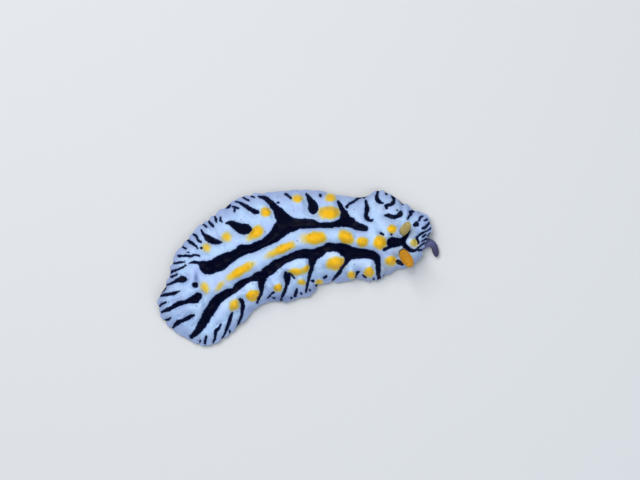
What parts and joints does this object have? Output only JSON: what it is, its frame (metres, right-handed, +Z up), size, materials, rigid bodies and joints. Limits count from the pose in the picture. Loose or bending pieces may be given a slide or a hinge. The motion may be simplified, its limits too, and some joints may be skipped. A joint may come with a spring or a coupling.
{
  "type": "sea slug",
  "caption": "Still life-size crawling sea slug with a broad wavy mantle, raised knobs on its back, ribbed rhinophores and a flat foot.",
  "frame": {"origin": "on the surface the animal rests on, under the middle of its bounding box", "axes": "+X towards the head, +Y to the animal's left, +Z up"},
  "size_m": [0.0561, 0.0315, 0.0103],
  "materials": {
    "mantle": "moist pale blue skin with black bands and yellow caps",
    "foot": "moist pale grey skin",
    "rhinophore": "moist ochre skin, ribbed",
    "tentacle": "moist purple-grey skin"
  },
  "bodies": {
    "root": {"mantle_tail": "mantle", "mantle_rear": "mantle", "mantle_back": "mantle", "mantle_shoulder": "mantle", "mantle_head": "mantle", "foot_tail": "foot", "foot_middle": "foot", "foot_front": "foot", "head": "foot", "rhinophore_left": "rhinophore", "rhinophore_right": "rhinophore", "oral_tentacle_left": "tentacle", "oral_tentacle_right": "tentacle"}
  },
  "joints": []
}
